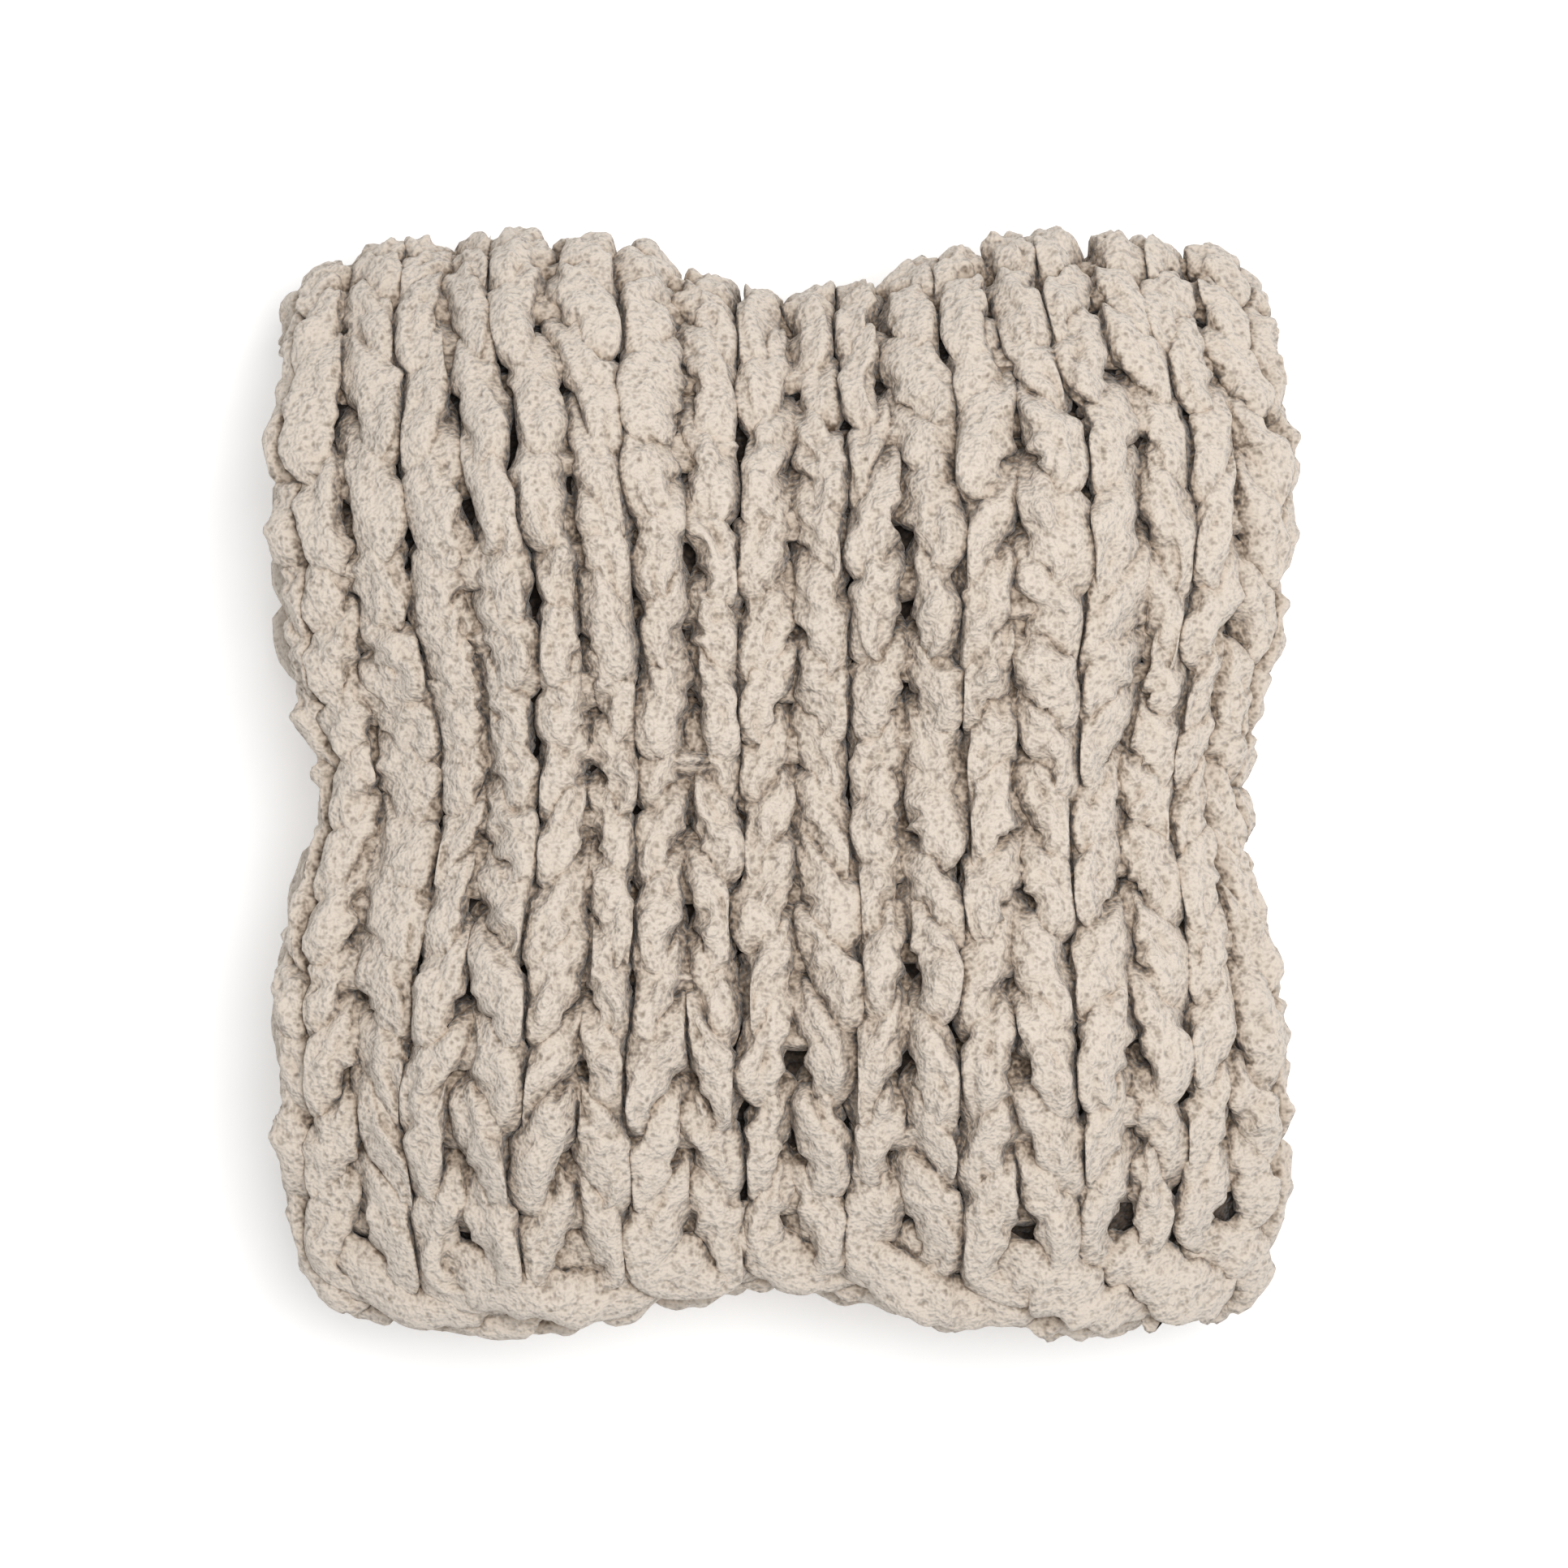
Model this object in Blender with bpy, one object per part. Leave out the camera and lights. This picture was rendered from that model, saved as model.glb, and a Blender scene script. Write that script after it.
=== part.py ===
"""A chunky knit throw, folded up into a soft pile: one knitted piece, one solid, in metres, +Z up.

The cloth starts as a flat slab.  It is folded in thirds across, with both side thirds tucked
under the middle one, so that the knit side faces out all round.  The strip that this makes is
folded back and forth along its length, in thirds again.  The pile then settles into its soft
outline, drawn in at the middle of all four sides and lower along its two middle lines.
The wales run along Y, and the stitches stand out where they show: on the top, round its two
side folds and over its far fold.  The cast-on edge, a row of fat chain loops, is at the near end.
"""

import bmesh
import bpy
import numpy as np

# The folded pile, before its outline is drawn in.
WIDTH = 0.336
LENGTH = 0.372
LAYER = 0.0142  # one thickness of the knit, pressed in the pile
LAYER_GAP = 0.0012  # between the thirds of a strip
STRIP_GAP = 0.0020  # between the three strips of the pile
LAYER_PITCH = LAYER + LAYER_GAP
STRIP = 3 * LAYER + 2 * LAYER_GAP
STRIP_PITCH = STRIP + STRIP_GAP

# Straight stretches, from the middle of the pile to where each fold starts to turn.
LEFT_RUN = WIDTH / 2 - LAYER_PITCH / 2 - LAYER / 2
RIGHT_RUN = WIDTH / 2 - LAYER_PITCH - LAYER / 2
END_RUN = LENGTH / 2 - STRIP_PITCH / 2 - STRIP / 2
TUCKED_SHORT = 0.012  # how far each free edge stops short of the fold beside it
UNDER_SHORT = 0.010
NEAR_SHORT = 0.004
FAR_SHORT = 0.012
NEAR_TUCK = 0.006  # how far the fold at the near end lies back under the free edge on top

# A row for each third across: name, straight length, radius of the half turn after it (0 for
# none, below 0 for a left-hand turn), and how far that third has slipped towards the near end.
THIRDS = (
    ("tucked", LEFT_RUN + RIGHT_RUN - TUCKED_SHORT, LAYER_PITCH / 2, 0.001),
    ("top", LEFT_RUN + RIGHT_RUN, LAYER_PITCH, 0.0),
    ("under", LEFT_RUN + RIGHT_RUN - UNDER_SHORT, 0.0, 0.003),
)
# A row for each strip along: the same, with its slip towards the left.
STRIPS = (
    ("upper", END_RUN + LENGTH / 2 - NEAR_SHORT, STRIP_PITCH / 2, 0.0),
    ("middle", 2 * END_RUN - NEAR_TUCK, -STRIP_PITCH / 2, 0.003),
    ("lower", END_RUN - NEAR_TUCK + LENGTH / 2 - FAR_SHORT, 0.0, -0.002),
)
CUT_LENGTH = 0.055  # longest grid step on the plain parts
TURN_CUTS = 6

# The stitches that show.
ROW = 0.0272  # from one stitch to the next above it
ROWS = 15
ROPE = 0.019  # the cast-on chain, one strand wide
LEG_CUTS = 3  # grid steps across and along each of a stitch's two legs
SLANT = 0.45  # how much higher a leg is at its outer side than at the stitch's point, in rows
TROUGH = 0.0045  # below the plain side of the cloth
CREST = 0.0030  # above it
RIM_BULGE = 0.0045
# How far out of its trough a leg stands at each grid step across it, and up along it.
LEG_PROFILE = (0.0, 1.0, 1.0)
ROW_PROFILE = (0.40, 1.0, 0.75)
ROPE_PROFILE = (0.30, 1.0, 1.0)

# Where the lines between the wales lie on the top face, left to right, from the pile's middle
# and before the pile is drawn in, at five stations along it.
STATIONS = (-0.148, -0.102, 0.007, 0.102, 0.175)
WALE_LINES = (
    # near edge, near half, waist, far half, far fold
    (-0.143, -0.145, -0.147, -0.149, -0.153),
    (-0.109, -0.111, -0.108, -0.108, -0.119),
    (-0.071, -0.071, -0.070, -0.071, -0.082),
    (-0.033, -0.032, -0.035, -0.035, -0.034),
    (0.002, 0.002, 0.002, -0.001, -0.001),
    (0.040, 0.039, 0.042, 0.038, 0.034),
    (0.079, 0.077, 0.084, 0.079, 0.071),
    (0.115, 0.116, 0.122, 0.119, 0.107),
    (0.150, 0.151, 0.155, 0.152, 0.142),
)
WALES = len(WALE_LINES) + 1
FIRST_WALE = -LEFT_RUN - 0.026  # where the shown wales start and end, round the side folds
LAST_WALE = RIGHT_RUN + 0.044

# The settled outline.  For each side: the share that its waist is drawn in, the waist's half
# length, and where its middle is along the side.
WAISTS = {
    "left": (0.085, 0.038, 0.002),
    "right": (0.100, 0.062, -0.004),
    "near": (0.085, 0.056, -0.006),
    "far": (0.112, 0.046, 0.001),
}
CORNERS = {"near": 0.050, "far": 0.030}  # share drawn in at the corners of each end
CORNER_POWER = 6
VALLEY = 0.075  # share by which the pile is lower along its two middle lines
VALLEY_SPAN = 0.046
SIDE_DROP = 0.24  # share by which the pile is thinner at its sides
FLAT_SHARE = 0.45  # the middle of the pile, which keeps its thickness

YARN_COLOUR = (0.66, 0.60, 0.53, 1.0)
YARN_ROUGHNESS = 0.95
CLOSE = 1e-6


def marks(runs, offset):
    """Distances where each straight run and each turn ends, on a line offset to its outer side."""
    ends = [0.0]
    for _, length, radius, _ in runs:
        ends.append(ends[-1] + length)
        if radius:
            ends.append(ends[-1] + np.pi * (abs(radius) + offset))
    return np.array(ends)


ACROSS = marks(THIRDS, LAYER / 2)  # over the knit side of the flat cloth
ALONG = marks(STRIPS, STRIP / 2)
TOP_START = ACROSS[2] + LEFT_RUN  # the middle of the top third


def to_middle(distance, face, runs):
    """Distances measured over the knit side, turned into distances along the middle."""
    inside = np.clip(distance, face[0], face[-1])
    return np.interp(inside, face, marks(runs, 0)) + distance - inside


def walk(distance, runs, start, forward):
    """Points and left-hand normals at distances along a line of straight runs and half turns."""
    point = np.tile(start, (len(distance), 1))
    left = np.tile((-forward[1], forward[0]), (len(distance), 1))
    rest = np.array(distance)
    for number, (_, length, radius, _) in enumerate(runs):
        ahead = np.stack([left[:, 1], -left[:, 0]], axis=1)
        step = np.minimum(rest, length) if radius else rest
        step = np.maximum(step, 0) if number else step
        point = point + step[:, None] * ahead
        rest = rest - step
        if radius:
            angle = (np.clip(rest, 0, np.pi * abs(radius)) / radius)[:, None]
            centre = point - radius * left
            left = left * np.cos(angle) + ahead * np.sin(angle)
            point = centre + radius * left
            rest = rest - abs(radius * angle[:, 0])
    return point, left


def slip(distance, runs):
    """How far the cloth has slipped aside at these distances, changing over each turn."""
    return np.interp(distance, marks(runs, 0), np.repeat([row[-1] for row in runs], 2))


def fold(u, v, w):
    """Folds points of the flat cloth across and then along: u across, v along, w out of it."""
    across, lean = walk(u, THIRDS, (RIGHT_RUN - TUCKED_SHORT, 0.0), (-1.0, 0.0))
    level = across[:, 1] + w * lean[:, 1]
    start = (NEAR_SHORT - LENGTH / 2, 2 * STRIP_PITCH + STRIP / 2)
    along, rise = walk(v - slip(u, THIRDS), STRIPS, start, (1.0, 0.0))
    x = across[:, 0] + w * lean[:, 0] - slip(v, STRIPS)
    y, z = (along + level[:, None] * rise).T
    return x, y, z


def waist(low_side, high_side, place, along):
    """Scale that draws in two facing sides, by which side a point is on and where along it."""
    row = np.where(place[:, None] > 0, WAISTS[high_side], WAISTS[low_side])
    share, span, middle = row.T
    return 1 - share * np.exp(-(((along - middle) / span) ** 2))


def corner(place, half, y):
    """Scale that rounds the corners, by how near a point is to the end of the other side."""
    share = np.where(y > 0, CORNERS["far"], CORNERS["near"])
    return 1 - share * abs(place / half) ** CORNER_POWER


def thinned(place, half):
    """Scale that thins the pile from its flat middle out to its sides, lowest in the valley."""
    out = np.clip((abs(place) / half - FLAT_SHARE) / (1 - FLAT_SHARE), 0, 1)
    return (1 - SIDE_DROP * out * out * (3 - 2 * out)) * (1 - VALLEY * np.exp(-((place / VALLEY_SPAN) ** 2)))


def settle(x, y, z):
    """Draws in the waists and corners, lowers the middle lines and thins the sides."""
    half_x, half_y = WIDTH / 2, LENGTH / 2
    new_x = x * waist("left", "right", x, y) * corner(y, half_y, y)
    new_y = y * waist("near", "far", y, x) * corner(x, half_x, y)
    return np.stack([new_x, new_y, z * thinned(x, half_x) * thinned(y, half_y)], axis=1)


def plain_lines(ends, turns):
    """Grid lines over the straight runs and the turns, each cut into equal parts."""
    lines = [ends[0]]
    for number, (start, end) in enumerate(zip(ends, ends[1:])):
        parts = turns if number % 2 else int(np.ceil((end - start) / CUT_LENGTH))
        lines += list(np.linspace(start, end, parts + 1)[1:])
    return np.array(lines)


def with_zone(lines, zone):
    """The plain grid lines outside a zone, and the zone's own lines, in order."""
    margin = (zone[1] - zone[0]) / 2
    outside = lines[(lines < zone[0] - margin) | (lines > zone[-1] + margin)]
    return np.sort(np.concatenate([outside, zone]))


LEG_LINES = TOP_START + np.linspace(FIRST_WALE, LAST_WALE, 2 * WALES + 1)
ROW_LINES = np.concatenate([[0], ROPE + ROW * np.arange(ROWS + 1)])


def cut_slab():
    """The flat cloth as a box, cut into a grid, with each leg of the shown stitches cut finer."""
    across = with_zone(plain_lines(ACROSS, TURN_CUTS), LEG_LINES)
    along = with_zone(plain_lines(ALONG, TURN_CUTS), ROW_LINES)
    size = np.array([ACROSS[-1], ALONG[-1], LAYER])
    slab = bmesh.new()
    bmesh.ops.create_cube(slab, size=1)
    bmesh.ops.scale(slab, vec=size, verts=slab.verts)
    bmesh.ops.translate(slab, vec=(size[0] / 2, size[1] / 2, 0), verts=slab.verts)
    for axis, lines in enumerate((across[1:-1], along[1:-1], (0.0,))):
        normal = [float(axis == n) for n in range(3)]
        for line in lines:
            geometry = slab.verts[:] + slab.edges[:] + slab.faces[:]
            place = [line * part for part in normal]
            bmesh.ops.bisect_plane(slab, geom=geometry, plane_co=place, plane_no=normal, dist=CLOSE)
    edges = {edge for face in slab.faces if shown(face) for edge in face.edges}
    bmesh.ops.subdivide_edges(slab, edges=list(edges), cuts=LEG_CUTS - 1, use_grid_fill=True)
    return slab


def shown(face):
    """Whether a face is on the knit side, among the stitches that stand out."""
    a, b, c = face.calc_center_median()
    return c > LAYER / 2 - CLOSE and LEG_LINES[0] < a < LEG_LINES[-1] and b < ROW_LINES[-1]


def stitch_relief(leg, row):
    """Height over the plain knit side: fat legs, each rising out of the trough around it."""
    steps = LEG_CUTS
    across = np.array(LEG_PROFILE)[np.rint(leg * steps).astype(int) % steps]
    along = np.array(ROW_PROFILE)[np.rint(row * steps).astype(int) % steps]
    rope = np.array(ROPE_PROFILE)[np.rint(row * steps).astype(int) % steps]
    height = np.where(row < -CLOSE, rope * (0.5 + 0.5 * across), across * along)
    inside = (leg > CLOSE) & (leg < 2 * WALES - CLOSE) & (row > -1 + CLOSE) & (row < ROWS - CLOSE)
    return np.where(inside, height * (CREST + TROUGH) - TROUGH, 0)


def wander(a, y):
    """Moves the straight grid lines of the wales sideways, onto their own lines on the cloth."""
    straight = TOP_START + np.linspace(FIRST_WALE, LAST_WALE, WALES + 1)
    shift = np.zeros(len(a))
    for number, places in enumerate(WALE_LINES, start=1):
        line = TOP_START + np.interp(y, STATIONS, places)
        near = 1 - abs(a - straight[number]) / (straight[1] - straight[0])
        shift = shift + np.clip(near, 0, 1) * (line - straight[number])
    return a + shift


def shape(slab):
    """Lays the cut slab's points out as stitches, then folds and settles the cloth."""
    a, b, w = np.array([point.co for point in slab.verts], float).T
    leg = (a - LEG_LINES[0]) / (LEG_LINES[1] - LEG_LINES[0])
    row = np.where(b < ROPE, b / ROPE - 1, (b - ROPE) / ROW)
    on_face = w > LAYER / 2 - CLOSE
    w = w + np.where(on_face, stitch_relief(leg, row), 0)

    rim = abs(w) < CLOSE
    for values, last in ((a, ACROSS[-1]), (b, ALONG[-1])):
        values[rim & (values < CLOSE)] -= RIM_BULGE
        values[rim & (values > last - CLOSE)] += RIM_BULGE

    zone = (leg > -CLOSE) & (leg < 2 * WALES + CLOSE)
    outer = abs(leg % 2 - 1)
    fade = np.clip(row, 0, 1) * np.clip(ROWS + 1 - row, 0, 1)
    b = b + np.where(zone, (outer - 0.5) * SLANT * ROW * fade, 0)
    a = wander(a, b + NEAR_SHORT - LENGTH / 2)

    points = settle(*fold(to_middle(a, ACROSS, THIRDS), to_middle(b, ALONG, STRIPS), w))
    middle = (points.min(axis=0) + points.max(axis=0)) / 2
    return points - (middle[0], middle[1], points[:, 2].min())


def yarn():
    material = bpy.data.materials.new("chenille_yarn")
    material.use_nodes = True
    shader = material.node_tree.nodes["Principled BSDF"]
    shader.inputs["Base Color"].default_value = YARN_COLOUR
    shader.inputs["Roughness"].default_value = YARN_ROUGHNESS
    return material


def main():
    for obj in list(bpy.data.objects):
        bpy.data.objects.remove(obj)
    slab = cut_slab()
    for point, place in zip(slab.verts, shape(slab)):
        point.co = place
    mesh = bpy.data.meshes.new("blanket")
    slab.to_mesh(mesh)
    slab.free()
    mesh.materials.append(yarn())
    mesh.shade_smooth()
    throw = bpy.data.collections.new("chunky_knit_throw")
    bpy.context.scene.collection.children.link(throw)
    throw.objects.link(bpy.data.objects.new("blanket", mesh))


main()
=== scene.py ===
# %% [markdown]
# # A chunky knit throw, folded into a pile
# The object is one piece of plain stocking stitch in a fat chenille yarn, folded in thirds across
# and then in thirds along.  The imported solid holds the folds.  Here each row of the knitting is
# laid on those folds as a real tube of yarn, so that the stitches cast their own shadows.

import bpy
import numpy as np
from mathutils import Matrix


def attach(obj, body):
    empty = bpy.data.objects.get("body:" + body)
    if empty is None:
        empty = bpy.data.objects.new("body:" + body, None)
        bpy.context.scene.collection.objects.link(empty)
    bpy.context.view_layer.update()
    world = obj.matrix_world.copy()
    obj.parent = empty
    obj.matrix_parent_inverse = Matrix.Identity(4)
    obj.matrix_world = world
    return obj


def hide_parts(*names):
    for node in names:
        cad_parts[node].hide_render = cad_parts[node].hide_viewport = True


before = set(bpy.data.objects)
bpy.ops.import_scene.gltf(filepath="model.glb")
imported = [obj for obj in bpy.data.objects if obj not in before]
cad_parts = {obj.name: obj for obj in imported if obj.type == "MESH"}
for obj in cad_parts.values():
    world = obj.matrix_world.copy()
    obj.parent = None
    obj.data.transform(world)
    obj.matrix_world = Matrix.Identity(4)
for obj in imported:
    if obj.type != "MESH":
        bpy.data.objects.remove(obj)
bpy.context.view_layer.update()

# %% [markdown]
# ## The fold
# The cloth is described flat, by a (metres across it), b (metres along it) and w (metres out of
# its knit side, 0 in its middle).  Straight runs and half turns then lay it into the pile, and a
# last smooth map settles the pile.  These sizes are the ones that the solid was made from.

# %% Sizes of the folded cloth
WIDTH = 0.336  # of the pile before it settles
LENGTH = 0.372
LAYER = 0.0142  # one thickness of the pressed cloth
LAYER_GAP = 0.0012  # between the thirds folded across
STRIP_GAP = 0.0020  # between the strips folded along
LAYER_PITCH = LAYER + LAYER_GAP
STRIP = 3 * LAYER + 2 * LAYER_GAP
STRIP_PITCH = STRIP + STRIP_GAP
LEFT_RUN = WIDTH / 2 - LAYER_PITCH / 2 - LAYER / 2
RIGHT_RUN = WIDTH / 2 - LAYER_PITCH - LAYER / 2
END_RUN = LENGTH / 2 - STRIP_PITCH / 2 - STRIP / 2
# how far each free edge, or the inner fold, stops short of the pile's side
TUCKED_SHORT = 0.012
UNDER_SHORT = 0.010
NEAR_SHORT = 0.004
FAR_SHORT = 0.012
NEAR_TUCK = 0.006

# name, straight length, radius of the half turn after it, sideways slip
THIRDS = (
    ("tucked", LEFT_RUN + RIGHT_RUN - TUCKED_SHORT, LAYER_PITCH / 2, 0.001),
    ("top", LEFT_RUN + RIGHT_RUN, LAYER_PITCH, 0.0),
    ("under", LEFT_RUN + RIGHT_RUN - UNDER_SHORT, 0.0, 0.003),
)
STRIPS = (
    ("upper", END_RUN + LENGTH / 2 - NEAR_SHORT, STRIP_PITCH / 2, 0.0),
    ("middle", 2 * END_RUN - NEAR_TUCK, -STRIP_PITCH / 2, 0.003),
    ("lower", END_RUN - NEAR_TUCK + LENGTH / 2 - FAR_SHORT, 0.0, -0.002),
)
# side: share drawn in, half length, middle
WAISTS = {
    "left": (0.085, 0.038, 0.002),
    "right": (0.100, 0.062, -0.004),
    "near": (0.085, 0.056, -0.006),
    "far": (0.112, 0.046, 0.001),
}
CORNERS = {"near": 0.050, "far": 0.030}  # share drawn in at the corners
CORNER_POWER = 6
VALLEY = 0.075  # share that the two middle lines are lower
VALLEY_SPAN = 0.046
SIDE_DROP = 0.24  # share that the sides are thinner than the middle
FLAT_SHARE = 0.45  # share of the half width that keeps its thickness
print("pile before it settles:", WIDTH, "by", LENGTH, "by", round(3 * STRIP + 2 * STRIP_GAP, 4))

# %% Distances over the cloth's face


def marks(runs, offset):
    """Distances where each straight run and each turn ends, measured on the turns' outer side."""
    ends = [0.0]
    for _, length, radius, _ in runs:
        ends.append(ends[-1] + length)
        if radius:
            ends.append(ends[-1] + np.pi * (abs(radius) + offset))
    return np.array(ends)


ACROSS = marks(THIRDS, LAYER / 2)
ALONG = marks(STRIPS, STRIP / 2)
TOP_START = ACROSS[2] + LEFT_RUN


def to_middle(distance, face, runs):
    """Distance over the cloth's face, read as distance along its middle, run by run."""
    inside = np.clip(distance, face[0], face[-1])
    return np.interp(inside, face, marks(runs, 0)) + distance - inside


print("knit side:", np.round(ACROSS[-1], 3), "across,", np.round(ALONG[-1], 3), "along")

# %% Folding the cloth


def walk(distance, runs, start, forward):
    """Point and left-hand normal at each distance along straight runs and half turns.

    A run adds step * ahead; a turn of radius r turns the normal by arc / r about its centre.
    """
    point = np.tile(start, (len(distance), 1))
    left = np.tile((-forward[1], forward[0]), (len(distance), 1))
    rest = np.array(distance)
    for number, (_, length, radius, _) in enumerate(runs):
        ahead = np.stack([left[:, 1], -left[:, 0]], axis=1)
        step = np.minimum(rest, length) if radius else rest
        step = np.maximum(step, 0) if number else step
        point = point + step[:, None] * ahead
        rest = rest - step
        if radius:
            angle = (np.clip(rest, 0, np.pi * abs(radius)) / radius)[:, None]
            centre = point - radius * left
            left = left * np.cos(angle) + ahead * np.sin(angle)
            point = centre + radius * left
            rest = rest - abs(radius * angle[:, 0])
    return point, left


def slip(distance, runs):
    """Sideways slip, constant on each straight run and changing evenly over each turn."""
    return np.interp(distance, marks(runs, 0), np.repeat([row[-1] for row in runs], 2))


def fold(a, b, w):
    """The thirds across lift (a, w) to (x, level); the strips along lift (b, level) to (y, z)."""
    u, v = to_middle(a, ACROSS, THIRDS), to_middle(b, ALONG, STRIPS)
    across, lean = walk(u, THIRDS, (RIGHT_RUN - TUCKED_SHORT, 0.0), (-1.0, 0.0))
    level = across[:, 1] + w * lean[:, 1]
    start = (NEAR_SHORT - LENGTH / 2, 2 * STRIP_PITCH + STRIP / 2)
    along, rise = walk(v - slip(u, THIRDS), STRIPS, start, (1.0, 0.0))
    x = across[:, 0] + w * lean[:, 0] - slip(v, STRIPS)
    y, z = (along + level[:, None] * rise).T
    return x, y, z


# %% Settling the pile
GRID_LINES = 400
FLOOR_SOFT = 0.003


def waist(low_side, high_side, place, along):
    """1 - share * exp(-((along - middle) / span)^2), with the side's own row of WAISTS."""
    row = np.where(np.asarray(place)[..., None] > 0, WAISTS[high_side], WAISTS[low_side])
    share, span, middle = np.moveaxis(row, -1, 0)
    return 1 - share * np.exp(-(((along - middle) / span) ** 2))


def corner(place, half, y):
    """1 - share * (place / half)^CORNER_POWER, with the share of the end that y is in."""
    share = np.where(y > 0, CORNERS["far"], CORNERS["near"])
    return 1 - share * abs(place / half) ** CORNER_POWER


def thinned(place, half):
    """Full thickness in the middle, eased down to 1 - SIDE_DROP, times a bell-shaped valley."""
    out = np.clip((abs(place) / half - FLAT_SHARE) / (1 - FLAT_SHARE), 0, 1)
    side = 1 - SIDE_DROP * out * out * (3 - 2 * out)
    return side * (1 - VALLEY * np.exp(-((place / VALLEY_SPAN) ** 2)))


def settle(x, y, z):
    """Draws in waists and corners and thins the sides: each coordinate times its own scales."""
    half_x, half_y = WIDTH / 2, LENGTH / 2
    new_x = x * waist("left", "right", x, y) * corner(y, half_y, y)
    new_y = y * waist("near", "far", y, x) * corner(x, half_x, y)
    return np.stack([new_x, new_y, z * thinned(x, half_x) * thinned(y, half_y)], axis=1)


def pile_middle():
    """Middle of the folded cloth's box in x and y, from a grid over its knit side."""
    ends = np.linspace(0, ACROSS[-1], GRID_LINES), np.linspace(0, ALONG[-1], GRID_LINES)
    a, b = np.meshgrid(*ends)
    points = settle(*fold(a.ravel(), b.ravel(), np.full(a.size, LAYER / 2)))
    return (points.min(axis=0) + points.max(axis=0)) / 2


MIDDLE = pile_middle()
print("pile's middle before it is centred:", np.round(MIDDLE, 4))


def lay(a, b, w):
    """Folded, settled and centred points; what would sink into the floor is pressed flat."""
    points = settle(*fold(a.ravel(), b.ravel(), w.ravel())) - (MIDDLE[0], MIDDLE[1], 0)
    z = points[:, 2]
    low = FLOOR_SOFT * np.exp(np.minimum(z - FLOOR_SOFT, 0) / FLOOR_SOFT)
    points[:, 2] = np.where(z < FLOOR_SOFT, low, z)
    return points.reshape(*a.shape, 3)


# %% [markdown]
# ## Where the stitches lie
# Chunky knitting never lies square: its columns wander sideways and its rows drift.  Two short
# tables give that drift on the top face, and everything between is read from them.

# %% Seams of the columns and heights of the rows
WALE = 0.0365  # width of a column
ROW = 0.0272  # height of a row
ROPE = 0.019  # thickness of the yarn

# Seams between the legs on the top face, left to right: x in millimetres on the finished pile,
# at seven heights y.  Every other row is the middle of a column, where its stitches point down.
SEAM_HEIGHTS = np.array([-150, -110, -72, 4, 77, 113, 172]) / 1000
SEAMS = np.array([
    # near edge, near, near half, waist, far half, far, far fold
    (-143, -144, -143, -137, -143, -149, -149),
    (-123, -127, -122, -114, -125, -129, -131),
    (-106, -109, -105, -99, -102, -108, -113),
    (-88, -89, -84, -82, -83, -90, -98),
    (-71, -70, -66, -64, -67, -71, -79),
    (-52, -52, -50, -48, -49, -53, -56),
    (-31, -32, -32, -32, -32, -34, -34),
    (-14, -15, -15, -15, -15, -15, -16),
    (2, 3, 3, 3, 3, 3, 2),
    (20, 22, 23, 21, 22, 20, 18),
    (39, 39, 40, 39, 39, 36, 32),
    (59, 57, 58, 58, 56, 58, 52),
    (79, 77, 76, 78, 75, 79, 69),
    (97, 97, 95, 96, 98, 98, 86),
    (115, 116, 114, 112, 121, 118, 104),
    (131, 133, 134, 131, 136, 137, 122),
    (149, 150, 151, 144, 152, 153, 139),
]) / 1000

# Heights y in millimetres on the finished pile of the ends of the rows, from the first row up.
ROW_HEIGHTS = np.array([
    # left half, right half
    (-158, -147),
    (-129, -121),
    (-100, -95),
    (-73, -66),
    (-49, -37),
    (-22, -13),
    (1, 8),
    (22, 29),
    (44, 52),
    (68, 79),
    (93, 110),
    (124, 135),
    (153, 158),
]) / 1000
ROW_COLUMNS = (2.5, 7.5)  # columns in the middle of each half
ROW_REACH = (-0.3, 1.3)  # how far past them the tilt of a row goes on
MIDDLE_COLUMN = 5
FIRST_SEAM = 1  # column coordinate of the first row of SEAMS
FOLD_LIMIT = 0.95  # share of the far fold's radius that the table's rows may reach
LAST_ROW = 42  # at the cast-off edge
LAST_COLUMN = 19.4  # at the edge of the third that lies underneath
print(len(SEAMS), "seams and", len(ROW_HEIGHTS), "row heights on the top face")

# %% From column and row to a place on the cloth


def row_line(t, s):
    """Distance b of row height t in column s.

    On the top face it is the table's y, let out by the waist; before it rows are ROW apart, and
    after it they are evenly spread up to the far edge of the cloth.
    """
    last = len(ROW_HEIGHTS) - 1
    share = np.clip((s - ROW_COLUMNS[0]) / (ROW_COLUMNS[1] - ROW_COLUMNS[0]), *ROW_REACH)
    inside = np.clip(t, 0, last)
    left = np.interp(inside, np.arange(last + 1), ROW_HEIGHTS[:, 0])
    right = np.interp(inside, np.arange(last + 1), ROW_HEIGHTS[:, 1])
    y = left + (right - left) * share
    x = (s - MIDDLE_COLUMN) * WALE
    y = (y + MIDDLE[1]) / waist("near", "far", y, np.clip(x, -WIDTH / 2, WIDTH / 2))
    radius = STRIP_PITCH / 2 + STRIP / 2
    turn = np.arcsin(np.clip((y - END_RUN) / radius, 0, FOLD_LIMIT)) * radius
    flat = np.minimum(y, END_RUN) + turn + LENGTH / 2 - NEAR_SHORT
    pitch = np.where(t > last, (ALONG[-1] - ROPE - flat) / (LAST_ROW + 1 - last), ROW)
    return flat + (t - inside) * pitch


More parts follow.
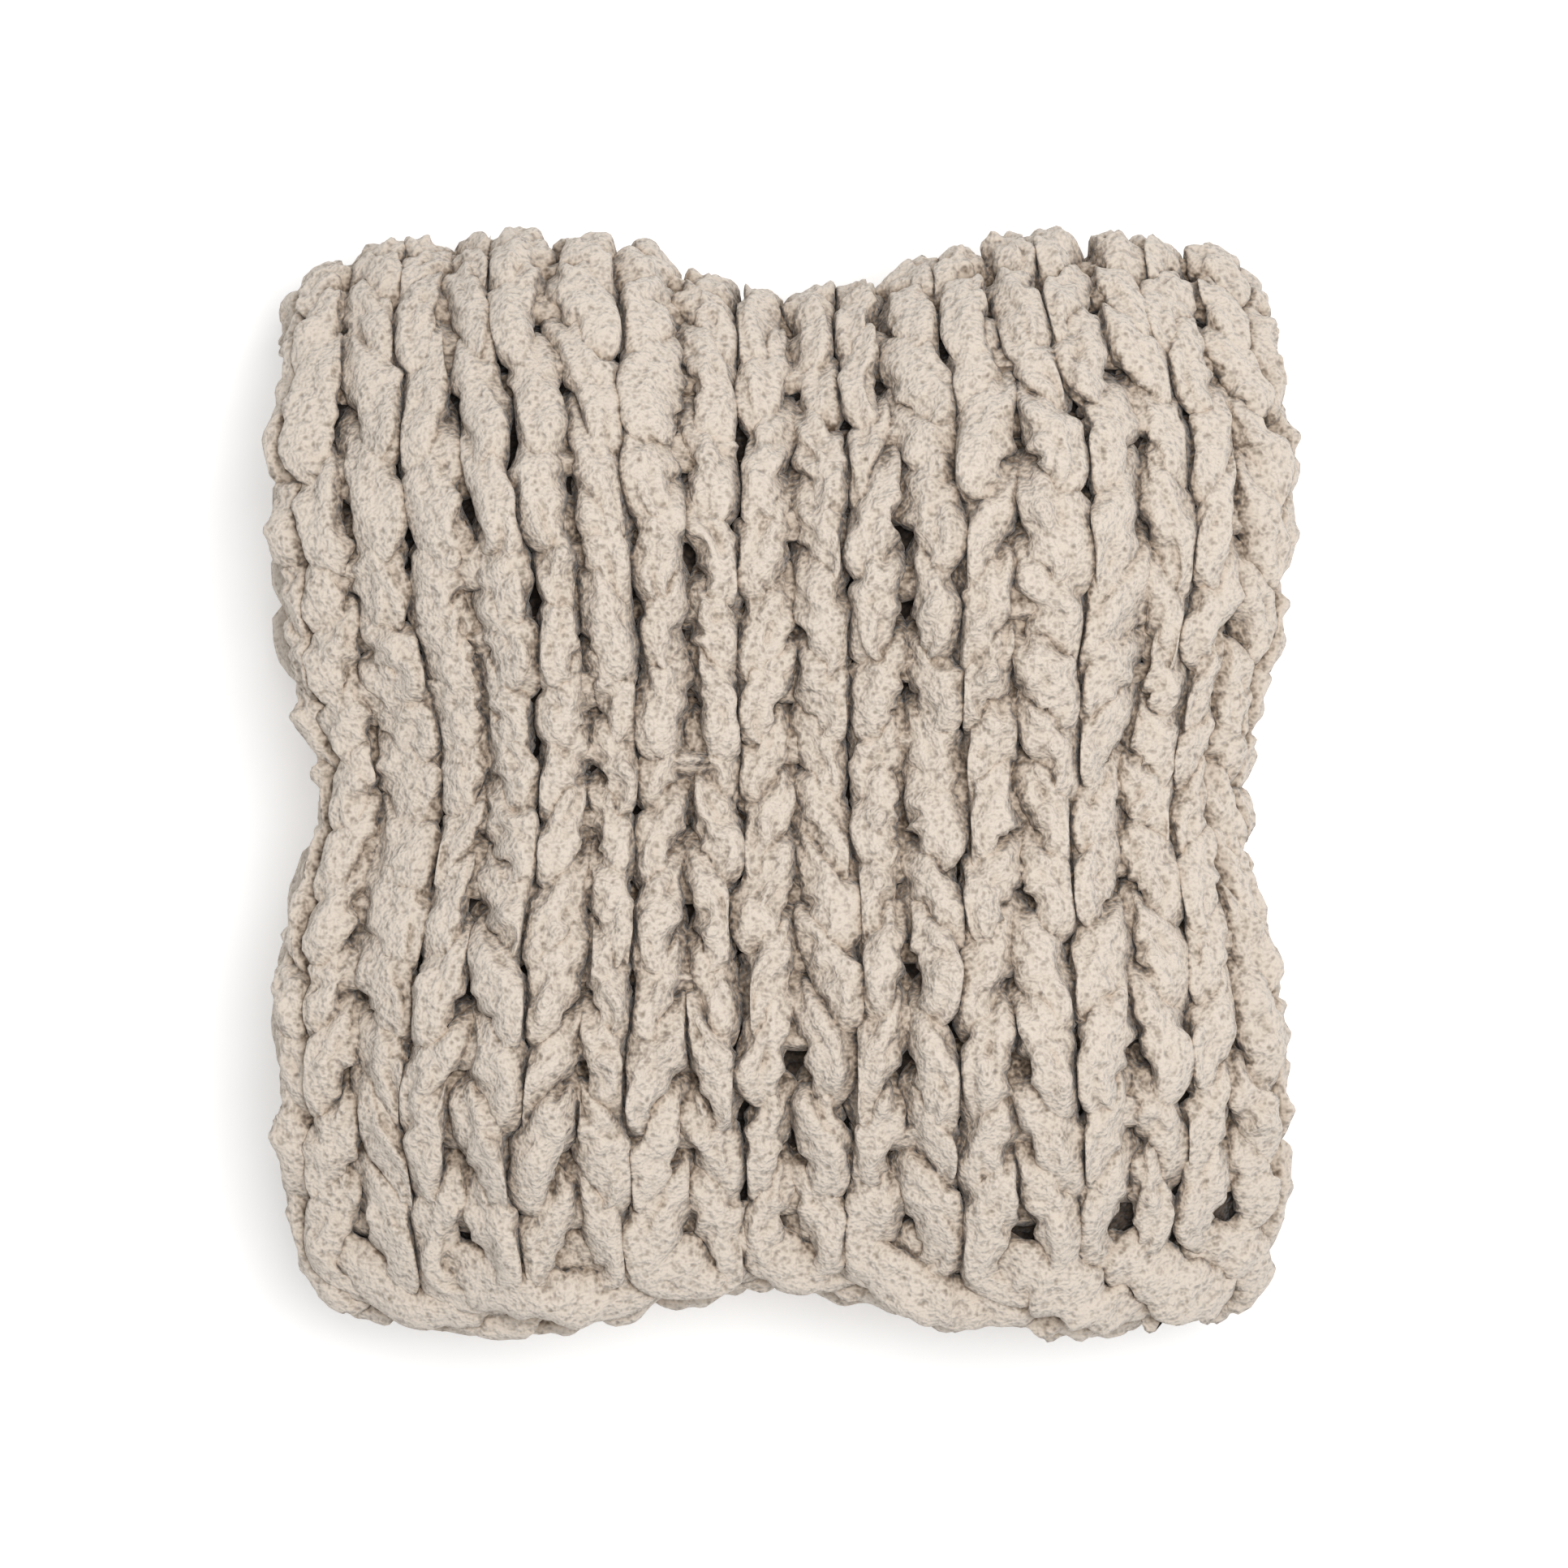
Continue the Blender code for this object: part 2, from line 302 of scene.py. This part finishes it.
def seam_line(s, b):
    """Distance a of column coordinate s where the row is at b: between seams, it is read evenly."""
    y = np.clip(b - LENGTH / 2 + NEAR_SHORT, SEAM_HEIGHTS[0], SEAM_HEIGHTS[-1])
    index = np.clip(np.searchsorted(SEAM_HEIGHTS, y) - 1, 0, len(SEAM_HEIGHTS) - 2)
    part = (y - SEAM_HEIGHTS[index]) / (SEAM_HEIGHTS[index + 1] - SEAM_HEIGHTS[index])
    part = part * part * (3 - 2 * part)
    place = np.clip((s - FIRST_SEAM) * 2, 0, len(SEAMS) - 1)
    low = np.minimum(place.astype(int), len(SEAMS) - 2)
    share = place - low

    def at(seam):
        return SEAMS[seam, index] * (1 - part) + SEAMS[seam, index + 1] * part

    x = at(low) * (1 - share) + at(low + 1) * share + MIDDLE[0]
    x = x / (waist("left", "right", x, y) * corner(y, LENGTH / 2, y))
    inside = FIRST_SEAM + place / 2
    return TOP_START + x + (s - inside) * WALE


# %% [markdown]
# ## The yarn's path
# In stocking stitch a row is one yarn that climbs and drops once a column.  Its two legs lie in
# front as a V, its head passes behind the next row, and between columns it passes behind again.
# Sine waves give that path: one for the climb and one of twice the pace for the slant of the legs.
# Two soft steps of the climb bring the yarn out in front and take it back.  A leg's lower end lies
# on top of the stitch below, and its upper end dives under the stitch above.

# %% Sizes of a stitch
SLANT = 0.235  # how far a leg leans across its half of the column
OPEN = 0.030  # how much further it leans near the left, where the throw was pulled open
OPEN_PLACE = (2.7, 1.6)  # column and row
OPEN_REACH = (2.8, 3.2)
UPRIGHT = 0.070  # how much less it leans over the far left
UPRIGHT_PLACE = (2.5, 9.5)
UPRIGHT_REACH = (2.8, 3.4)
CLIMB = 0.94  # half the height of a stitch, in rows
RAISE = 0.47  # middle of the stitch above the start of its row, in rows
BEHIND = -0.0062  # level w of the hidden loops
BEFORE = 0.0024  # level w of the legs
SHINGLE = 0.0034  # how much more a leg's lower end stands out, and its upper end less
EMERGE = (-0.86, 0.13)  # share of the climb where a leg comes out in front, and how softly
DIVE = (0.50, 0.24)  # the same where it goes under the next stitch
FATTEST = (-0.07, 0.68)  # where a leg is fattest, and over what share it thins
YARN_WIDE = (0.0055, 0.0090)  # half width of the strand at its thinnest and its fattest
YARN_DEEP = (0.0050, 0.0092)
FULLER = 0.45  # how much of that thinning is undone over the far left
LINGER = 0.25  # spends more of the samples on the legs than on the turns
# how uneven the stitches are: in columns, in columns, in rows, in metres, in shares of fatness
JITTER = {"slant": 0.045, "across": 0.020, "up": 0.12, "out": 0.0020, "fat": 0.08}
JITTER_LIMIT = 1.7  # uneven as hand knitting is, but no stitch is a freak
SEED = 11
high, thick = 2000 * CLIMB * ROW, 2000 * YARN_WIDE[1]
print("a stitch is", round(high), "mm high, of yarn up to", round(thick), "mm thick")

# %% Path of a row of stitches


def smooth_noise(rng, shape, passes):
    """White noise softened by repeated [1 2 1] / 4 averages along each axis, then scaled to 1."""
    noise = rng.normal(size=shape)
    for axis, times in enumerate(passes):
        for _ in range(times):
            before, after = np.roll(noise, 1, axis), np.roll(noise, -1, axis)
            noise = (before + 2 * noise + after) / 4
    return noise / noise.std()


def bell(where, row, place, reach):
    """exp(-d^2), with d the distance from a place in columns and rows, over a reach."""
    apart = ((where - place[0]) / reach[0]) ** 2 + ((row - place[1]) / reach[1]) ** 2
    return np.exp(-apart)


def row_path(rows, first, last, samples, rng):
    """Centre line of each row from column first to last, as arrays (row, sample).

    With p the phase in a column and u = -cos p the climb: across = column + p / 2pi +
    slant sin 2p, up = row + RAISE + CLIMB u.  The strand is in front between the
    two steps EMERGE and DIVE of u, each a tanh, and leans out by SHINGLE at its lower end.
    """
    count = int(round((last - first) * samples)) + 1
    even = np.linspace(first, last, count) * 2 * np.pi
    phase = even + LINGER * np.sin(2 * even)
    where = phase / (2 * np.pi)
    column = np.arange(np.floor(first) * 2, np.ceil(last) * 2 + 3) / 2
    draws = rng.normal(size=(len(JITTER), len(rows), len(column)))
    draws = dict(zip(JITTER, np.clip(draws, -JITTER_LIMIT, JITTER_LIMIT)))

    def uneven(title):
        return JITTER[title] * np.array([np.interp(where, column, line) for line in draws[title]])

    row = np.array(rows, float)[:, None]
    upright = bell(where, row, UPRIGHT_PLACE, UPRIGHT_REACH)
    slant = SLANT + OPEN * bell(where, row, OPEN_PLACE, OPEN_REACH)
    slant = slant - UPRIGHT * upright + uneven("slant")
    climb = -np.cos(phase)
    t = row + RAISE + CLIMB * climb + uneven("up")
    s = where + slant * np.sin(2 * phase) + uneven("across")
    emerged = np.tanh((climb - EMERGE[0]) / EMERGE[1])
    dived = np.tanh((climb - DIVE[0]) / DIVE[1])
    out = BEHIND + (BEFORE - BEHIND) * (emerged - dived) / 2 - SHINGLE * climb
    fat = np.exp(-(((climb - FATTEST[0]) / FATTEST[1]) ** 4)) + uneven("fat")
    fat = fat + (1 - fat) * FULLER * upright
    return where, s, t, out + uneven("out"), fat


# %% [markdown]
# ## Tubes
# A tube is rings of points round a path.  Here the rings are made in the flat cloth and then
# folded with it, so the yarn bends round the folds by itself.  More points are spent on the side
# that faces out.  Where two legs meet, each is pressed flat against the line between them, as soft
# yarn is, instead of running through the other.

# %% Rings round a path
BACK = -0.0040  # level w below which the cloth's back is pressed flat
BACK_SOFT = 0.0030
RING_BIAS = 0.5  # gathers the points of a ring on its outer side


def press(w):
    """The cloth's back is pressed flat: below BACK, w eases towards BACK - BACK_SOFT."""
    return np.where(w < BACK, BACK - BACK_SOFT * np.tanh((BACK - w) / BACK_SOFT), w)


def rings(path, wide, deep, around, lumps):
    """Points (line, sample, ring): centre + wide cos(v) side + deep sin(v) up, all in the cloth."""
    ahead = np.gradient(path, axis=1)
    ahead /= np.linalg.norm(ahead, axis=-1, keepdims=True)
    side = np.stack([ahead[..., 1], -ahead[..., 0], np.zeros(path.shape[:2])], axis=-1)
    side /= np.linalg.norm(side, axis=-1, keepdims=True)
    up = np.cross(side, ahead)
    even = np.arange(around) / around * 2 * np.pi
    turn = even + RING_BIAS * np.cos(even)
    swell = 1 + lumps
    cos, sin = np.cos(turn) * swell * wide[..., None], np.sin(turn) * swell * deep[..., None]
    return path[:, :, None] + cos[..., None] * side[:, :, None] + sin[..., None] * up[:, :, None]


# %% Legs pressed side by side
SQUEEZE_SOFT = 0.0012
FRONT = (0.0000, 0.0040)  # levels w between which the pressing sets in
WANDER = (0.050, 0.030)  # how far the line between two legs strays, and how far it leans


def squeeze(points, path, where, pitch, stray):
    """Legs side by side press flat against the lines between them, where they are in front.

    With x the way from a line to a point in the leg's own half, and S = SQUEEZE_SOFT, x becomes
    S log(1 + exp(x / S)), which never changes side; FRONT of w says how much of that push a point
    takes.  Each line strays by stray[0] + stray[1] u, with u the climb of the leg and its own
    numbers in each row.
    """
    front = np.clip((points[..., 2] - FRONT[0]) / (FRONT[1] - FRONT[0]), 0, 1)
    s = path[..., 0, None] + (points[..., 0] - path[..., 1, None]) / pitch[..., None]
    half = np.floor(2 * where).astype(int)
    climb = -np.cos(2 * np.pi * where)
    new = s
    for number, way in ((half, 1), (half + 1, -1)):
        shift = stray[:, :, number - half[0]]
        line = (number / 2 + shift[0] + shift[1] * climb)[..., None]
        apart = way * (new - line) * WALE / SQUEEZE_SOFT
        new = line + way * np.logaddexp(0, apart) * SQUEEZE_SOFT / WALE
    points[..., 0] += (new - s) * front * pitch[..., None]
    return points


# %% Meshes


def tube_mesh(name, points):
    """One mesh from an array (line, sample, ring, 3): quads round each line, and two end caps."""
    lines, samples, around = points.shape[:3]
    index = np.arange(points[..., 0].size).reshape(lines, samples, around)
    here, there = index[:, :-1], index[:, 1:]
    quads = np.stack([here, np.roll(here, -1, 2), np.roll(there, -1, 2), there], axis=-1)
    faces = quads.reshape(-1, 4).tolist()
    faces += index[:, 0, ::-1].tolist() + index[:, -1].tolist()
    return cloth_mesh(name, points.reshape(-1, 3), faces)


def cloth_mesh(name, points, faces):
    """A smooth mesh object at the origin, with its place in its points."""
    mesh = bpy.data.meshes.new(name)
    mesh.from_pydata(points, [], faces)
    mesh.shade_smooth()
    piece = bpy.data.objects.new(name, mesh)
    bpy.context.scene.collection.objects.link(piece)
    print(name, sum(len(face) - 2 for face in faces), "triangles")
    return piece


# %% A strand of yarn, and rows knitted from it
# swellings of the strand: share of its radius, then smoothing passes along it and round it
LUMP = (0.045, 14, 5)
TUFT = (0.060, 6, 5)
CRUMB = (0.110, 2, 2)


def swellings(rng, shape, size):
    """Smooth noise over (line, sample, ring), scaled to a share of the radius."""
    share, along, around = size
    return share * smooth_noise(rng, shape, (0, along, around))


def strand(name, path, wide, deep, around, rng, seams=None):
    """Yarn of given half sizes along flat paths (line, sample, abw), lumpy, laid on the folds."""
    shape = (*path.shape[:2], around)
    flat = rings(path, wide, deep, around, swellings(rng, shape, LUMP))
    if seams:
        flat = squeeze(flat, *seams)
    tufts = swellings(rng, shape, TUFT) + swellings(rng, shape, CRUMB)
    flat = path[:, :, None] + (flat - path[:, :, None]) * (1 + tufts)[..., None]
    return tube_mesh(name, lay(flat[..., 0], flat[..., 1], press(flat[..., 2])))


def knit(name, rows, first, last, samples, around, seed):
    """Rows of stitches from column first to last, as yarn on the folded cloth."""
    rng = np.random.default_rng(seed)
    where, s, t, w, fat = row_path(rows, first, last, samples, rng)
    b = row_line(t, s)
    path = np.stack([seam_line(s, b), b, w], axis=-1)
    pitch = (seam_line(s + 0.25, b) - seam_line(s - 0.25, b)) * 2
    wide = (YARN_WIDE[0] + (YARN_WIDE[1] - YARN_WIDE[0]) * fat) * pitch / WALE
    deep = YARN_DEEP[0] + (YARN_DEEP[1] - YARN_DEEP[0]) * fat
    lines = int(2 * (last - first)) + 3
    stray = rng.normal(size=(2, len(rows), lines)) * np.reshape(WANDER, (2, 1, 1))
    seams = (np.stack([s, path[..., 0]], axis=-1), where, pitch, stray)
    return strand(name, path, wide, deep, around, rng, seams)


# %% Stitches on the top and the far fold
FINE = (60, 26)  # samples in a column, points round the yarn
TOP_COLUMNS = (-1.4, 11.4)
TOP_PIECES = ("stitches_near", "stitches_near_middle", "stitches_far_middle", "stitches_far")
ROWS_EACH = 4
yarns = [
    knit(name, range(i * ROWS_EACH, (i + 1) * ROWS_EACH), *TOP_COLUMNS, *FINE, SEED + i)
    for i, name in enumerate(TOP_PIECES)
]

# %% [markdown]
# ## The plainer rows
# The rows on the lower folds show only from the sides, so they take fewer points.  With the first
# ones they cover the outer faces of the pile: both side folds, the near fold and the underside.

# %% Stitches on the other outer faces
PLAIN = (24, 12)  # samples in a column, points round the yarn
yarns += [
    knit("stitches_left_folds", range(16, LAST_ROW + 1), -1.4, 1.2, *PLAIN, SEED + 4),
    knit("stitches_right_fold", range(16, 27), 9.0, 11.4, *PLAIN, SEED + 5),
    knit("stitches_under", range(27, LAST_ROW + 1), 9.0, LAST_COLUMN, *PLAIN, SEED + 6),
]

# %% [markdown]
# ## The edges
# The throw starts and ends in a chain: two strands that wind slowly round each other, fatter than
# the rows.  The near one shows from above, under the points of the first row.

# %% Chain edges
CHAIN_PITCH = 0.092  # length of one turn of a strand round the other
CHAIN_SWAY = 0.0086
CHAIN_LIFT = 0.0052
CHAIN_LEVEL = -0.0028
CHAIN_WIDE = 0.0096
CHAIN_DEEP = 0.0074
CHAIN_SWELL = 0.06
CHAIN_UNEVEN = (0.5, 900)  # radians of the turn, and smoothing passes along the chain
CHAIN_STEP = 0.0016
CHAIN_ROUND = 16
CHAIN_IN = 0.0075  # how much further in the cast-on chain lies
CHAIN_EDGES = (ROPE / 2 + CHAIN_IN, ALONG[-1] - ROPE / 2)


def chain(name, middle, seed):
    """Two strands in a slow twist across the whole cloth.

    With q = 2 pi a / PITCH, half a turn further on for the second strand: b = middle + SWAY cos q
    and w = LEVEL + LIFT sin q.
    """
    rng = np.random.default_rng(seed)
    a = np.arange(0.0, ACROSS[-1], CHAIN_STEP)
    uneven = CHAIN_UNEVEN[0] * smooth_noise(rng, (1, len(a)), (0, CHAIN_UNEVEN[1]))
    phase = 2 * np.pi * a / CHAIN_PITCH + uneven + np.array([[0.0], [np.pi]])
    lines = np.broadcast_to(a, phase.shape)
    b = middle + CHAIN_SWAY * np.cos(phase)
    path = np.stack([lines, b, CHAIN_LEVEL + CHAIN_LIFT * np.sin(phase)], axis=-1)
    swell = 1 + CHAIN_SWELL * np.sin(phase)
    return strand(name, path, CHAIN_WIDE * swell, CHAIN_DEEP * swell, CHAIN_ROUND, rng)


yarns += [
    chain("cast_on_chain", CHAIN_EDGES[0], SEED + 7),
    chain("cast_off_chain", CHAIN_EDGES[1], SEED + 8),
]

# %% [markdown]
# ## The dark inside
# Between the strands one looks into the throw, where the back of the knitting lies in its own
# shade.  A thin dark sheet through the whole folded cloth, behind the legs, stands for it.

# %% Core of the cloth
CORE_FACES = (-0.0072, -0.0056)  # levels w of its two faces
CORE_INSET = 0.010
CORE_STEP = 0.016
CORE_TURN = 10  # steps round each turn


def grid_lines(ends):
    """Even steps of about CORE_STEP on the straight runs, CORE_TURN steps round each turn."""
    lines = [ends[:1] + CORE_INSET]
    for number, (start, end) in enumerate(zip(ends, ends[1:])):
        low = start + CORE_INSET * (number == 0)
        high = end - CORE_INSET * (number == len(ends) - 2)
        steps = CORE_TURN if number % 2 else int(np.ceil((high - low) / CORE_STEP))
        lines.append(np.linspace(low, high, steps + 1)[1:])
    return np.concatenate(lines)


def core_sheet(name):
    """A closed thin slab: the grid of lines once at each of CORE_FACES, and a rim between them."""
    a, b = np.meshgrid(grid_lines(ACROSS), grid_lines(ALONG), indexing="ij")
    index = np.arange(a.size).reshape(a.shape)
    under = [index[:-1, :-1], index[:-1, 1:], index[1:, 1:], index[1:, :-1]]
    below = np.stack(under, axis=-1).reshape(-1, 4)
    above = below[:, ::-1] + a.size
    loop = np.concatenate([index[:-1, 0], index[-1, :-1], index[:0:-1, -1], index[0, :0:-1]])
    ahead = np.roll(loop, -1)
    rim = np.stack([loop, ahead, ahead + a.size, loop + a.size], axis=-1)
    faces = np.concatenate([below, above, rim]).tolist()
    points = np.concatenate([lay(a, b, np.full(a.shape, w)).reshape(-1, 3) for w in CORE_FACES])
    return cloth_mesh(name, points, faces)


core = core_sheet("core")

# %% [markdown]
# ## The chenille
# Chenille is a cord with a dense short pile.  It is matt and pale.  Its small dark gaps where the
# pile parts are painted shade in a random grain, and the darkening in the clefts between strands is
# painted shade too.  Both read how covered a place is, so they follow the real stitches.  The yarn,
# in its own colour, and the dark inside, whose colour is painted shade, share them: one node group.

# %% Helpers for shader nodes


def link(tree, *pairs):
    """Links each output to the input it is paired with."""
    for source, target in pairs:
        tree.links.new(source, target)


def node(tree, kind, **values):
    """A new shader node with its named inputs set."""
    made = tree.nodes.new(kind)
    for title, value in values.items():
        made.inputs[title.replace("_", " ")].default_value = value
    return made


def fill(made, values):
    """Sets a node's numbered inputs."""
    for number, value in values.items():
        made.inputs[number].default_value = value
    return made


def sums(tree, operation, values):
    """A Math node; values are its numbered inputs."""
    made = tree.nodes.new("ShaderNodeMath")
    made.operation = operation
    return fill(made, values)


def mix(tree, blend, values):
    """A colour Mix node; input 0 is the share, 6 and 7 are the colours, output 2 the result."""
    made = tree.nodes.new("ShaderNodeMix")
    made.data_type = "RGBA"
    made.blend_type = blend
    return fill(made, values)


# %% The pile, as a node group
# painted shade: the dark gaps between the tufts, crowded into covered places
GAP_SHADE = (0.34, 0.30, 0.26)  # what the colour is multiplied by in a gap
GAP_NOISE = (0.47, 0.12)  # noise at which a gap begins and is full
GAP_COVERED = 0.26  # how much of that noise a fully covered place loses
CRUMB_SCALE = 470
TUFT_SCALE = 170
# painted shade in the clefts: the colour darkens with how covered a place is
CLEFT_REACH = 0.0130  # how far off a neighbour still covers a place
CLEFT_CURVE = 1.2
CLEFT_POWER = 1.35
BUMP_DEPTH = 0.0018


def pile_and_shade_group():
    """Colour and normal of the pile with its painted shade, made once for both finishes.

    Fine noise, less a share of how covered the place is, picks the dark gaps between the tufts,
    which are painted shade.  The colour is then raised to the power 1 + CLEFT_POWER
    covered^CLEFT_CURVE, painted shade in the clefts.
    """
    tree = bpy.data.node_groups.new("chenille_pile_and_painted_shade", "ShaderNodeTree")
    tree.interface.new_socket("Colour", in_out="INPUT", socket_type="NodeSocketColor")
    tree.interface.new_socket("Colour", in_out="OUTPUT", socket_type="NodeSocketColor")
    tree.interface.new_socket("Normal", in_out="OUTPUT", socket_type="NodeSocketVector")
    given = tree.nodes.new("NodeGroupInput")
    made = tree.nodes.new("NodeGroupOutput")
    place = tree.nodes.new("ShaderNodeTexCoord")
    crumb = node(tree, "ShaderNodeTexNoise", Scale=CRUMB_SCALE, Detail=1.2, Roughness=0.6)
    tuft = node(tree, "ShaderNodeTexNoise", Scale=TUFT_SCALE, Detail=1.0, Roughness=0.5)
    near = node(tree, "ShaderNodeAmbientOcclusion", Distance=CLEFT_REACH)
    near.samples = 6
    # painted shade: how covered a place is, from ambient occlusion, darkens the colour below
    covered = node(tree, "ShaderNodeMapRange", From_Min=1.0, From_Max=0.0)
    sunk = sums(tree, "MULTIPLY_ADD", {1: -GAP_COVERED})
    low = node(tree, "ShaderNodeMapRange", From_Min=GAP_NOISE[0], From_Max=GAP_NOISE[1])
    gap = mix(tree, "MULTIPLY", {0: 1.0, 7: (*GAP_SHADE, 1)})
    pits = mix(tree, "MIX", {})
    # painted shade in the clefts: the colour's power grows with how covered a place is
    cleft_shade = sums(tree, "POWER", {1: CLEFT_CURVE})
    shade_exponent = sums(tree, "MULTIPLY_ADD", {1: CLEFT_POWER, 2: 1.0})
    power = tree.nodes.new("ShaderNodeGamma")
    height = sums(tree, "ADD", {})
    bump = node(tree, "ShaderNodeBump", Distance=BUMP_DEPTH, Strength=1.0)
    link(
        tree,
        (place.outputs["Object"], crumb.inputs["Vector"]),
        (place.outputs["Object"], tuft.inputs["Vector"]),
        (near.outputs["AO"], covered.inputs["Value"]),
        (covered.outputs[0], sunk.inputs[0]),
        (crumb.outputs[0], sunk.inputs[2]),
        (sunk.outputs[0], low.inputs["Value"]),
        (given.outputs["Colour"], gap.inputs[6]),
        (low.outputs[0], pits.inputs[0]),
        (given.outputs["Colour"], pits.inputs[6]),
        (gap.outputs[2], pits.inputs[7]),
        (pits.outputs[2], power.inputs["Color"]),
        (covered.outputs[0], cleft_shade.inputs[0]),
        (cleft_shade.outputs[0], shade_exponent.inputs[0]),
        (shade_exponent.outputs[0], power.inputs["Gamma"]),
        (power.outputs[0], made.inputs["Colour"]),
        (tuft.outputs[0], height.inputs[0]),
        (crumb.outputs[0], height.inputs[1]),
        (height.outputs[0], bump.inputs["Height"]),
        (bump.outputs[0], made.inputs["Normal"]),
    )
    return tree


pile = pile_and_shade_group()
print("node group", pile.name, "with", len(pile.nodes), "nodes")

# %% Two finishes of chenille


def chenille(name, colour):
    """Matt, faintly sheeny cloth of the given colour, with the pile and its painted shade over it.
    """
    material = bpy.data.materials.new(name)
    material.use_nodes = True
    tree = material.node_tree
    shader = tree.nodes["Principled BSDF"]
    shader.inputs["Roughness"].default_value = 0.95
    shader.inputs["Specular IOR Level"].default_value = 0.10
    shader.inputs["Sheen Weight"].default_value = 0.25
    shader.inputs["Sheen Roughness"].default_value = 0.6
    effect = tree.nodes.new("ShaderNodeGroup")
    effect.node_tree = pile
    effect.inputs["Colour"].default_value = (*colour, 1)
    link(
        tree,
        (effect.outputs["Colour"], shader.inputs["Base Color"]),
        (effect.outputs["Normal"], shader.inputs["Normal"]),
    )
    return material


yarn_finish = chenille("chenille", (0.663, 0.583, 0.502))
# the inside's dark colour is painted shade, for the shaded back of the knitting
inside_shade_finish = chenille("chenille_inside_painted_shade", (0.24, 0.195, 0.16))

# %% Dress the pieces, and give each its place in the part
for piece in yarns:
    piece.data.materials.append(yarn_finish)
core.data.materials.append(inside_shade_finish)
for piece in [core, *yarns]:
    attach(piece, "root")
    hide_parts("blanket")
print(len(yarns), "pieces of yarn and the core sheet stand for the blanket")

# %% [markdown]
# ## The studio
# The pile lies on white paper under one large soft lamp, high up and a little to the right and
# behind, in a bright room, so its shadow is short and soft.  The camera looks straight down from
# well above, through a long lens.

# %% Floor
bpy.ops.mesh.primitive_plane_add(size=8)
floor = bpy.context.object
floor.name = "floor"
white = bpy.data.materials.new("white_floor")
white.use_nodes = True
paper = white.node_tree.nodes["Principled BSDF"]
paper.inputs["Base Color"].default_value = (0.92, 0.92, 0.92, 1)
paper.inputs["Roughness"].default_value = 1
paper.inputs["Emission Color"].default_value = (1, 1, 1, 1)
paper.inputs["Emission Strength"].default_value = 0.27
floor.data.materials.append(white)

# %% Light
LAMP_PLACE = (0.34, 0.18, 1.9)
LAMP_SIZE = 1.0
LAMP_POWER = 30
ROOM_LIGHT = 0.45
world = bpy.data.worlds.new("studio")
bpy.context.scene.world = world
world.use_nodes = True
world.node_tree.nodes["Background"].inputs["Color"].default_value = (1, 1, 1, 1)
world.node_tree.nodes["Background"].inputs["Strength"].default_value = ROOM_LIGHT

light = bpy.data.lights.new("key", "AREA")
light.size = LAMP_SIZE
light.energy = LAMP_POWER
lamp = bpy.data.objects.new("key", light)
lamp.location = LAMP_PLACE
lamp.rotation_mode = "QUATERNION"
lamp.rotation_quaternion = (-lamp.location).to_track_quat("-Z", "Y")
bpy.context.scene.collection.objects.link(lamp)

# %% Camera
VIEW_SIDE = 0.5255  # side of the square that the picture shows, at FOCUS_HEIGHT
VIEW_CENTRE = (-0.0003, 0.0024)
FOCUS_HEIGHT = 0.10
LENS = 135
camera = bpy.data.objects.new("camera", bpy.data.cameras.new("camera"))
bpy.context.scene.collection.objects.link(camera)
bpy.context.scene.camera = camera
camera.data.lens = LENS
camera.data.sensor_width = 36
distance = VIEW_SIDE * LENS / camera.data.sensor_width
camera.location = (*VIEW_CENTRE, FOCUS_HEIGHT + distance)
camera.data.clip_end = 20
bpy.context.scene.view_settings.view_transform = "Standard"
print("camera", round(camera.location.z, 3), "m above the floor")
